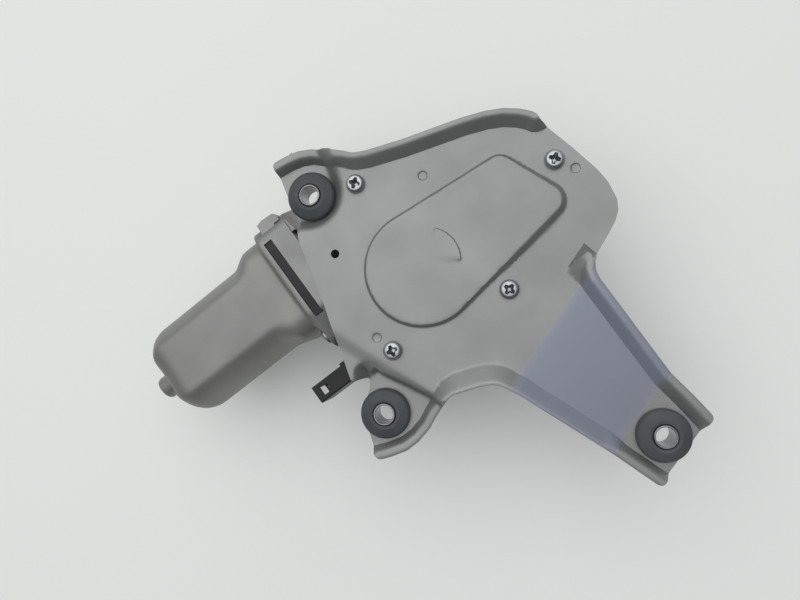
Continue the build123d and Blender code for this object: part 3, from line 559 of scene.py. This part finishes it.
def gusset_share(points):
    """Root of the arm's right brim in the plate: a wall along its foot and a short end wall."""
    left, foot, top = (GUSSET[k] for k in ("left", "foot", "top"))
    along = np.hypot(points[:, 0] - left[0], points[:, 1] - left[1])
    end = -beside(points, left, top) / np.interp(along, [0, 12], [0.7, 1.9])
    rise = -beside(points, foot, left) / 8.0
    outer = -beside(points, top, RIGHT_EDGE[0]) / 1.8
    return np.clip(end, 0, 1), np.clip(softer_min(rise, 1.0, 0.2), 0, 1), np.clip(outer, 0, 1)


def brim_height(points, settings):
    upper, lower, arm = (brim_share(points, line) for line in range(3))
    end, rise, outer = gusset_share(points)
    root = np.minimum(np.minimum(np.maximum(arm, rise), end), outer)
    arm = np.where(along_arm(points) < ROOT_END, root, arm)
    return settings.brim / MM * np.clip(np.maximum(np.maximum(upper, lower), arm), 0, 1)


def crease_lines():
    """Lines that the sheet's mesh keeps as edges, so that its folds stay crisp."""
    left, foot, top = (GUSSET[k] for k in ("left", "foot", "top"))
    lines = [[foot, left, top, RIGHT_EDGE[0]]]
    lines += [brim_rows(line, [1.0]) for line in range(3)]
    for s in (ARM_FOLD, ARM_FOOT):
        across = Vector((cos(ARM_TURN), sin(ARM_TURN)))
        middle = Vector((sin(ARM_TURN), -cos(ARM_TURN))) * s
        lines.append([tuple(middle - across * 60), tuple(middle + across * 60)])
    ring = boss_ring()
    for off in (-BOSS_WALL, 0.0):
        line = rows(ring, [off], 1.2, True)
        lines.append(line + line[:1])
    lines.append(EAR_STEP[:5])
    return lines


GRID, GRID_CORNER, GRID_REACH = 1.4, (-104, -118), (140, 206)
EDGE_GAP = 0.35  # loose points stay this far from edges


def bracket_points(outline, holes):
    """Grid and feature rows that the sheet is triangulated from."""
    points = []
    for j in range(int(GRID_REACH[1] / GRID)):
        for i in range(int(GRID_REACH[0] / GRID)):
            points.append((GRID_CORNER[0] + (i + j % 2 / 2) * GRID, GRID_CORNER[1] + j * GRID * 0.9))
    for line in range(3):
        points += brim_rows(line, BRIM_ROWS + [1.08])
    for r in (1.0, 2.0, 3.0, 4.0, 5.0, 5.7, 6.2):
        points += circle(*UPPER_BRIM[0], r, 40)
    points += rows(boss_ring(), [-2.3, -1.9, -1.5, -1.2, -0.75, -0.5, -0.25, 0.4], 1.4, True)
    for ring in (ear_ring(), EAR_STEP[:5]):
        points += rows(ring, [-3.6, -3.0, -2.3, -1.6, -1.0, -0.5, 0.0, 0.4], 1.0, True)
    for x, y in HALF_PIERCED:
        for r in (1.4, 1.55, 1.7, 1.85, 2.0):
            points += circle(x, y, r, 28)
    for r in (0.6, 1.4, 2.2, 3.0, 3.8, 4.3, 4.8, 5.2):
        points += circle(*ARCH, r, 30)
    for r in (11.4, 12.0, 12.25, 12.5, 12.9):
        points += circle(*FAN, r, 90)
    points = np.array(points)
    keep = inside(points, outline) & (distance(points, outline, True) > EDGE_GAP)
    for hole in holes:
        keep &= ~inside(points, hole) & (distance(points, hole, True) > EDGE_GAP)
    return [tuple(p) for p in points[keep]]


class WIPER_OT_bracket(bpy.types.Operator):
    """Drawn sheet bracket with its brim, raised oval and three mounting pads"""

    bl_idname = "wiper.bracket"
    bl_label = "Cover Bracket"

    def execute(self, context):
        settings = context.scene.wiper_bracket
        outline = resampled(sheet_outline(), 0.8, True)
        holes = [circle(x, y, SCREW_HOLE, 32) for x, y in SCREWS]
        holes += [circle(*DOWEL, DOWEL_HOLE, 32)]
        holes += [circle(x, y, PAD_HOLE, 56) for x, y in MOUNTS.values()]
        verts, edges = [], []
        for ring in [outline] + holes:
            start = len(verts)
            verts += ring
            edges += [(start + i, start + (i + 1) % len(ring)) for i in range(len(ring))]
        for line in crease_lines():
            start = len(verts)
            verts += resampled(line, 1.2)
            within = depth_in(np.array(verts[start:]), outline) > 0.4
            for i in range(len(within) - 1):
                if within[i] and within[i + 1]:
                    edges.append((start + i, start + i + 1))
        verts += bracket_points(outline, holes)
        flat, _, faces, *_ = delaunay_2d_cdt([Vector(v) for v in verts], edges, [], 0, 1e-4)
        plan = np.array([tuple(v) for v in flat])
        centres = plan[np.array(faces)].mean(axis=1)
        keep = inside(centres, outline)
        for hole in holes:
            keep &= ~inside(centres, hole)
        faces = [tuple(f) for f, kept in zip(faces, keep) if kept]
        z = DECK + ground_height(plan, settings) + brim_height(plan, settings)
        # The arm's slope gets the painted reflection tint.
        finish = zinc_sheet("satin zinc sheet", settings.zinc, settings.slope, 0.46)
        sheet = piece("bracket_sheet", np.column_stack([plan, z]).tolist(), faces, finish, 180)
        if sum(p.normal.z for p in sheet.data.polygons) < 0:
            sheet.data.flip_normals()
        solid = sheet.modifiers.new("Solidify", "SOLIDIFY")
        solid.thickness = settings.sheet
        solid.offset = -1
        bake(sheet)
        tidy(sheet, 32, False)
        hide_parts("cover_bracket")
        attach(sheet, "housing")
        return {"FINISHED"}


# ---- rubber mounts ------------------------------------------------------------------------
class WIPER_OT_rubber_mounts(bpy.types.Operator):
    """Three grommets and the steel sleeves in them"""

    bl_idname = "wiper.rubber_mounts"
    bl_label = "Rubber Mounts"

    def execute(self, context):
        settings = context.scene.wiper_rubber
        rubber = plastic("grommet rubber", settings.rubber, 0.48, 700.0, 0.05)
        steel = metal("sleeve steel", settings.steel, 0.30)
        for place in MOUNTS:
            low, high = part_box(f"grommet_{place}")
            centre = [c / MM for c in (low + high) / 2]
            outer, crown = (high.x - low.x) / 2 / MM, (high.z - low.z) / 2 / MM
            bore, neck, step = SLEEVE_OUTER, PAD_HOLE, crown - 1.2
            upper = [(neck, 0.8), (neck + 0.5, 0.8), (outer - 0.5, 0.8), (outer, 1.4)]
            upper += arc((outer - 1.7, step - 1.7), 1.7, 0, 75, 8)
            upper += arc((5.7, crown - 0.8), 0.8, 72, 100, 3)
            upper += [(4.75, crown - 0.15), (4.45, crown - 0.5), (bore, crown - 1.0)]
            profile = upper + [(r, -h) for r, h in reversed(upper)]
            verts, faces = turned(profile, centre)
            grommet = piece(f"rubber_{place}", verts, faces, rubber)
            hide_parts(f"grommet_{place}")
            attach(grommet, "housing")
            low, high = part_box(f"sleeve_{place}")
            half = (high.z - low.z) / 2 / MM
            section = [(SLEEVE_OUTER, half - 0.3), (3.9, half), (3.75, half)]
            section += [(SLEEVE_BORE, half - 0.3)]
            profile = section + [(r, -h) for r, h in reversed(section)]
            verts, faces = turned(profile, [c / MM for c in (low + high) / 2], count=72)
            sleeve = piece(f"steel_{place}", verts, faces, steel)
            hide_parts(f"sleeve_{place}")
            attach(sleeve, "housing")
        return {"FINISHED"}


# ---- screws -------------------------------------------------------------------------------
def screw_mesh(head, height, shank):
    """Pan head with a cross recess, its seat at the origin, head up."""
    count, thread = 72, 2.0
    profile = [(0.0, -shank), (1.6, -shank), (thread, -shank + 0.5), (thread, 0)]
    profile += [(head / 2 - 0.15, 0)]
    profile += [(head / 2, 0.2), (head / 2, height * 0.35)]
    profile += arc((head / 2 - height * 0.6, height * 0.35), height * 0.6, 0, 78, 6)
    profile += [(head * 0.12, height), (0.0, height)]
    verts, faces = turned(profile, (0, 0, 0), count=count)
    faces = faces[: (len(profile) - 1) * count]
    mesh = bpy.data.meshes.new("pan_head")
    mesh.from_pydata([Vector(v) * MM for v in verts], [], faces)
    screw = bpy.data.objects.new("pan_head", mesh)
    bpy.context.scene.collection.objects.link(screw)
    tidy(screw, 35)
    cutter = bmesh.new()
    layers = []
    for z, reach, half in ((height + 0.4, 0.34, 0.085), (-height * 0.3, 0.09, 0.020)):
        corners = []
        for quarter in range(4):
            a = quarter * pi / 2
            for x, y in ((reach, -half), (reach, half), (half * 1.7, half * 1.7)):
                x, y = x * head, y * head
                corners.append((x * cos(a) - y * sin(a), x * sin(a) + y * cos(a), z))
        layers.append([cutter.verts.new(Vector(c) * MM) for c in corners])
    cutter.faces.new(layers[0])
    cutter.faces.new(layers[1][::-1])
    for i in range(12):
        n = (i + 1) % 12
        cutter.faces.new((layers[0][i], layers[1][i], layers[1][n], layers[0][n]))
    bmesh.ops.recalc_face_normals(cutter, faces=cutter.faces)
    tool_mesh = bpy.data.meshes.new("recess")
    cutter.to_mesh(tool_mesh)
    cutter.free()
    tool = bpy.data.objects.new("recess", tool_mesh)
    bpy.context.scene.collection.objects.link(tool)
    cut = screw.modifiers.new("Recess", "BOOLEAN")
    cut.object = tool
    cut.solver = "EXACT"
    bake(screw)
    bpy.data.objects.remove(tool)
    tidy(screw, 30)
    return screw


def screw_tree(template, finish):
    """Geometry nodes that set one screw at each point, turned about its own axis."""
    tree = bpy.data.node_groups.new("set screws", "GeometryNodeTree")
    face = tree.interface
    face.new_socket("Geometry", in_out="INPUT", socket_type="NodeSocketGeometry")
    size = face.new_socket("Size", in_out="INPUT", socket_type="NodeSocketFloat")
    size.default_value = 1.0
    tilt = face.new_socket("Direction", in_out="INPUT", socket_type="NodeSocketRotation")
    seed = face.new_socket("Seed", in_out="INPUT", socket_type="NodeSocketInt")
    seed.default_value = 7
    face.new_socket("Geometry", in_out="OUTPUT", socket_type="NodeSocketGeometry")
    start = tree.nodes.new("NodeGroupInput")
    end = tree.nodes.new("NodeGroupOutput")
    source = tree.nodes.new("GeometryNodeObjectInfo")
    source.inputs["Object"].default_value = template
    chance = tree.nodes.new("FunctionNodeRandomValue")
    chance.data_type = "FLOAT_VECTOR"
    chance.inputs["Min"].default_value = (0, 0, 0)
    chance.inputs["Max"].default_value = (0, 0, pi)
    tree.links.new(start.outputs["Seed"], chance.inputs["Seed"])
    spun = tree.nodes.new("GeometryNodeRotateInstances")
    spun.inputs["Local Space"].default_value = True
    place = tree.nodes.new("GeometryNodeInstanceOnPoints")
    real = tree.nodes.new("GeometryNodeRealizeInstances")
    paint = tree.nodes.new("GeometryNodeSetMaterial")
    paint.inputs["Material"].default_value = finish
    tree.links.new(start.outputs["Geometry"], place.inputs["Points"])
    tree.links.new(source.outputs["Geometry"], place.inputs["Instance"])
    tree.links.new(start.outputs["Direction"], place.inputs["Rotation"])
    tree.links.new(start.outputs["Size"], place.inputs["Scale"])
    tree.links.new(place.outputs["Instances"], spun.inputs["Instances"])
    tree.links.new(chance.outputs["Value"], spun.inputs["Rotation"])
    tree.links.new(spun.outputs["Instances"], real.inputs["Geometry"])
    tree.links.new(real.outputs["Geometry"], paint.inputs["Geometry"])
    tree.links.new(paint.outputs["Geometry"], end.inputs["Geometry"])
    return tree, {s.name: s.identifier for s in (size, tilt, seed)}


def set_screws(name, points, direction, template, finish, seed):
    mesh = bpy.data.meshes.new(name)
    mesh.from_pydata([Vector(p) * MM for p in points], [], [])
    obj = bpy.data.objects.new(name, mesh)
    bpy.context.scene.collection.objects.link(obj)
    tree, sockets = screw_tree(template, finish)
    mod = obj.modifiers.new("Screws", "NODES")
    mod.node_group = tree
    mod[sockets["Direction"]] = direction
    mod[sockets["Seed"]] = seed
    bake(obj)
    tidy(obj, 30, False)
    return obj


class WIPER_OT_screws(bpy.types.Operator):
    """Four cover screws and two screws that hold the can"""

    bl_idname = "wiper.screws"
    bl_label = "Screws"

    def execute(self, context):
        steel = metal("screw steel", context.scene.wiper_rubber.steel, 0.34)
        template = screw_mesh(head=7.2, height=2.6, shank=9.0)
        cover = set_screws(
            "cover_screw_set", [(x, y, DECK) for x, y in SCREWS], (0, 0, 0), template, steel, 7,
        )
        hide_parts("cover_screws")
        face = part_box("motor_can")[1].x / MM - FLANGE_SHEET
        yoke = set_screws(
            "can_screw_set", [(face, y, z) for y, z in YOKE_SCREWS], (0, -pi / 2, 0), template,
            steel, 3,
        )
        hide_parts("yoke_screws")
        for obj in (cover, yoke):
            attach(obj, "housing")
        bpy.data.objects.remove(template)
        return {"FINISHED"}


# ---- motor can ----------------------------------------------------------------------------
AXIS = (30.0, 22.0)
CAN_END, CUP, FLARE = 15.0, 5.0, 45.0
FLANGE_SHEET, ROOT_BEND = 1.6, 2.2
ROOT_LENGTH, WIDENING = 9.3, 10.7  # the root keeps its shape, then turns into the can's


def reach_round(angle, radius, flat):
    """Radius of the can's outline, a circle with two flats and soft creases between them."""
    power = 48
    level = flat / max(abs(sin(angle)), 1e-6)
    return (radius**-power + level**-power) ** (-1 / power)


def reach_ring(angle, ring):
    """Distance from the motor's axis to a convex ring in this direction."""
    dx, dy = cos(angle), sin(angle)
    for (ax, ay), (bx, by) in zip(ring, ring[1:] + ring[:1]):
        ex, ey = bx - ax, by - ay
        det = dx * -ey + ex * dy
        if abs(det) < 1e-12:
            continue
        px, py = ax - AXIS[0], ay - AXIS[1]
        t = (px * -ey + ex * py) / det
        u = (dx * py - dy * px) / det
        if t > 0 and -1e-9 <= u <= 1 + 1e-9:
            return t
    return 1.0


def flange_ring():
    lobes = [(*YOKE_SCREWS[0], 6.5), (*YOKE_SCREWS[1], 5), (15, 34, 7), (47, 34, 7), (15, 10, 7)]
    return hull([p for y, z, r in lobes for p in circle(y, z, r, 60)])


def root_ring(inset):
    width, height, corner = FLARE / 2 - inset, 17.0 - inset, 9.0 - inset
    points = []
    for sy in (1, -1):
        for sz in (1, -1):
            y, z = AXIS[0] + sy * (width - corner), AXIS[1] + sz * (height - corner)
            points += circle(y, z, corner, 60)
    return hull(points)


class WIPER_OT_motor_can(bpy.types.Operator):
    """Drawn motor can with its flats, widened root, flange and bearing cup"""

    bl_idname = "wiper.motor_can"
    bl_label = "Motor Can"

    def execute(self, context):
        settings = context.scene.wiper_motor
        radius, flat, wall = (v / MM for v in (settings.radius, settings.flat, settings.wall))
        low, high = (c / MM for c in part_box("motor_can"))
        face, tip, count = high.x, low.x, 192
        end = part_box("armature_core")[0].x / MM - CAN_END
        angles = [2 * pi * (i + 0.5) / count for i in range(count)]

        def rings(inset, skin):
            """Stations from the flange to the bearing cup, the skin moved in by inset."""
            root = [reach_ring(a, root_ring(inset)) for a in angles]
            can = [reach_round(a, radius - inset, flat - inset) for a in angles]
            out = []
            if skin:
                plate = [reach_ring(a, flange_ring()) for a in angles]
                out += [(face, plate), (face - FLANGE_SHEET + 0.3, plate)]
                out.append((face - FLANGE_SHEET, [r - 0.3 for r in plate]))
                for turn in range(0, 91, 18):
                    lift = ROOT_BEND * (1 - sin(radians(turn)))
                    x = face - FLANGE_SHEET - ROOT_BEND * (1 - cos(radians(turn)))
                    out.append((x, [r + min(lift, p - r - 0.5) for r, p in zip(root, plate)]))
            else:
                out.append((face, root))
            for i in range(15):
                share = i / 14
                share = share * share * (3 - 2 * share)
                out.append((face - ROOT_LENGTH - WIDENING * i / 14, [
                    a + (b - a) * share for a, b in zip(root, can)
                ]))
            shell_end, bend, reach = end + inset, 8.0 - inset, 9.5 - inset
            for turn in range(0, 91, 9):
                a = radians(turn)
                out.append((
                    shell_end + reach * (1 - sin(a)), [r - bend * (1 - cos(a)) for r in can],
                ))
            cup = CUP - inset
            out += [(shell_end, [cup + 1.6] * count), (shell_end - 0.2, [cup + 0.7] * count)]
            out += [(shell_end - 0.7, [cup + 0.2] * count), (shell_end - 1.6, [cup] * count)]
            out += [(tip + inset + 1.2, [cup] * count), (tip + inset + 0.35, [cup - 0.25] * count)]
            out.append((tip + inset, [cup - 1.1] * count))
            return out

        skin, lining = rings(0.0, True), rings(wall, False)
        layers = skin + lining[::-1]
        outer = len(skin)
        verts, faces = [], []
        for x, radii in layers:
            for a, r in zip(angles, radii):
                verts.append((x, AXIS[0] + r * cos(a), AXIS[1] + r * sin(a)))
        for j in range(len(layers)):
            if j == outer - 1:
                continue
            k = (j + 1) % len(layers)
            for i in range(count):
                n = (i + 1) % count
                faces.append((j * count + i, j * count + n, k * count + n, k * count + i))
        faces.append(tuple((outer - 1) * count + i for i in range(count)))
        faces.append(tuple(outer * count + i for i in range(count))[::-1])
        steel = metal("can steel", settings.steel, 0.5, 0.06, 500.0, 0.03, 0.10, 0.55)
        can = piece("can_shell", verts, faces, steel, 50)
        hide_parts("motor_can")
        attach(can, "housing")
        return {"FINISHED"}


# ---- pieces that keep their own shape -----------------------------------------------------
class WIPER_OT_finishes(bpy.types.Operator):
    """Finishes of the pieces that keep the shape of the solid model"""

    bl_idname = "wiper.finishes"
    bl_label = "Finishes"

    def execute(self, context):
        record = frame["record"]
        slots = {s["node"]: s["material_slot"] for s in record["subparts"]}
        finishes = {
            "zinc_plate": metal("zinc plate", (0.52, 0.52, 0.52), 0.42),
            "die_cast": metal("die cast", (0.25, 0.25, 0.25), 0.50, 0.08, 500.0, 0.08, 0.12, 0.8),
            "can_steel": metal("plated steel", (0.42, 0.42, 0.41), 0.36),
            "bright_steel": metal("bright steel", (0.62, 0.63, 0.64), 0.28),
            "ground_steel": metal("ground steel", (0.58, 0.58, 0.59), 0.22, 0.04, 1500.0, 0.01),
            "rubber": plastic("moulded rubber", (0.03, 0.033, 0.036), 0.5, 700.0, 0.05),
            "black_plastic": plastic("black plastic", (0.022, 0.022, 0.024), 0.42),
            "gear_plastic": plastic("gear plastic", (0.70, 0.67, 0.58), 0.38, 1400.0, 0.02, 0.05),
            "lamination": metal("laminated steel", (0.22, 0.22, 0.23), 0.5, 0.08, 400.0, 0.06),
            "copper": metal("enamelled copper", (0.48, 0.17, 0.06), 0.32, 0.06, 1800.0, 0.06),
            "bronze": metal("sintered bronze", (0.45, 0.30, 0.12), 0.45, 0.08, 1600.0, 0.05),
            "ferrite": plastic("ferrite", (0.03, 0.03, 0.032), 0.6, 800.0, 0.04),
            "carbon": plastic("carbon", (0.02, 0.02, 0.02), 0.55, 900.0, 0.03),
        }
        for name, obj in frame["nodes"].items():
            obj.data.materials.clear()
            obj.data.materials.append(finishes[slots[name]])
        return {"FINISHED"}


# ---- studio -------------------------------------------------------------------------------
def lamp(name, place, aim, size, power):
    data = bpy.data.lights.new(name, "AREA")
    data.shape = "DISK"
    data.size = size
    data.energy = power
    obj = bpy.data.objects.new(name, data)
    obj.location = place
    obj.rotation_euler = (Vector(aim) - Vector(place)).to_track_quat("-Z", "Y").to_euler()
    bpy.context.scene.collection.objects.link(obj)


class WIPER_OT_stage(bpy.types.Operator):
    """Pale floor, soft lamps and the camera"""

    bl_idname = "wiper.stage"
    bl_label = "Stage"

    def execute(self, context):
        settings = context.scene.wiper_stage
        scene = context.scene
        scene.view_settings.view_transform = "Standard"
        low = cad_box[0][2]
        material, _, shader, _ = nodes_for("pale floor")
        shader.inputs["Base Color"].default_value = (*settings.background, 1)
        shader.inputs["Roughness"].default_value = 0.8
        mesh = bpy.data.meshes.new("floor")
        reach = 3.0
        mesh.from_pydata(
            [(-reach, -reach, low), (reach, -reach, low), (reach, reach, low), (-reach, reach, low)],
            [], [(0, 1, 2, 3)],
        )
        mesh.materials.append(material)
        floor = bpy.data.objects.new("floor", mesh)
        scene.collection.objects.link(floor)

        world = bpy.data.worlds.new("studio")
        scene.world = world
        world.use_nodes = True
        tree = world.node_tree
        shade = tree.nodes["Background"]
        light = tree.nodes.new("ShaderNodeLightPath")
        facing = tree.nodes.new("ShaderNodeTexCoord")
        toward = tree.nodes.new("ShaderNodeVectorMath")
        toward.operation = "DOT_PRODUCT"
        toward.inputs[1].default_value = Vector((0.20, 0.55, 0.81)).normalized()
        tree.links.new(facing.outputs["Generated"], toward.inputs[0])
        sky = ramp(tree, toward.outputs["Value"], [
            (0.0, (0.22, 0.23, 0.24)), (0.35, (0.38, 0.39, 0.40)), (0.75, (0.70, 0.71, 0.71)),
            (1.0, (0.76, 0.77, 0.76)),
        ])
        mirrored = ramp(tree, toward.outputs["Value"], [
            (0.0, (0.08, 0.085, 0.09)), (0.35, (0.22, 0.23, 0.24)), (0.75, (0.58, 0.59, 0.60)),
            (0.95, (0.86, 0.87, 0.86)),
        ])
        sky = mixed(tree, light.outputs["Is Glossy Ray"], sky, mirrored)
        seen = mixed(tree, light.outputs["Is Camera Ray"], sky, settings.background)
        tree.links.new(seen, shade.inputs["Color"])
        shade.inputs["Strength"].default_value = 1.0

        middle = Vector((-0.05, 0.0, 0.03))
        lamp("key", (-0.05, 0.25, 0.90), middle, 1.40, settings.key)

        camera = bpy.data.cameras.new("camera")
        camera.lens = 27
        camera.sensor_width = 36
        eye = bpy.data.objects.new("camera", camera)
        place = Vector((-29.52, -31.70, 267.87)) * MM
        right = Vector((0.7878, -0.5936, -0.1644)).normalized()
        ahead = Vector((-0.1162, 0.1189, -0.9861)).normalized()
        up = right.cross(ahead).normalized()
        turn = Matrix((right, up, -ahead)).transposed().to_4x4()
        eye.matrix_world = Matrix.Translation(place) @ turn
        scene.collection.objects.link(eye)
        scene.camera = eye
        return {"FINISHED"}


class WIPER_PT_panel(bpy.types.Panel):
    """Sidebar list of the pieces and their sizes"""

    bl_label = "Wiper Motor"
    bl_idname = "WIPER_PT_panel"
    bl_space_type = "VIEW_3D"
    bl_region_type = "UI"
    bl_category = "Wiper Motor"

    def draw(self, context):
        for name, group in SETTINGS.items():
            box = self.layout.box()
            for key in group.__annotations__:
                box.prop(getattr(context.scene, name), key)
        for operator in OPERATORS:
            self.layout.operator(operator.bl_idname)


OPERATORS = (
    WIPER_OT_finishes, WIPER_OT_bracket, WIPER_OT_rubber_mounts, WIPER_OT_screws,
    WIPER_OT_motor_can, WIPER_OT_stage,
)


def register():
    for name, group in SETTINGS.items():
        bpy.utils.register_class(group)
        setattr(bpy.types.Scene, name, bpy.props.PointerProperty(type=group))
    for cls in (*OPERATORS, WIPER_PT_panel):
        bpy.utils.register_class(cls)


def unregister():
    for cls in (WIPER_PT_panel, *reversed(OPERATORS)):
        bpy.utils.unregister_class(cls)
    for name, group in SETTINGS.items():
        delattr(bpy.types.Scene, name)
        bpy.utils.unregister_class(group)


def main():
    register()
    for operator in OPERATORS:
        group, call = operator.bl_idname.split(".")
        getattr(getattr(bpy.ops, group), call)()


if __name__ == "__main__":
    main()
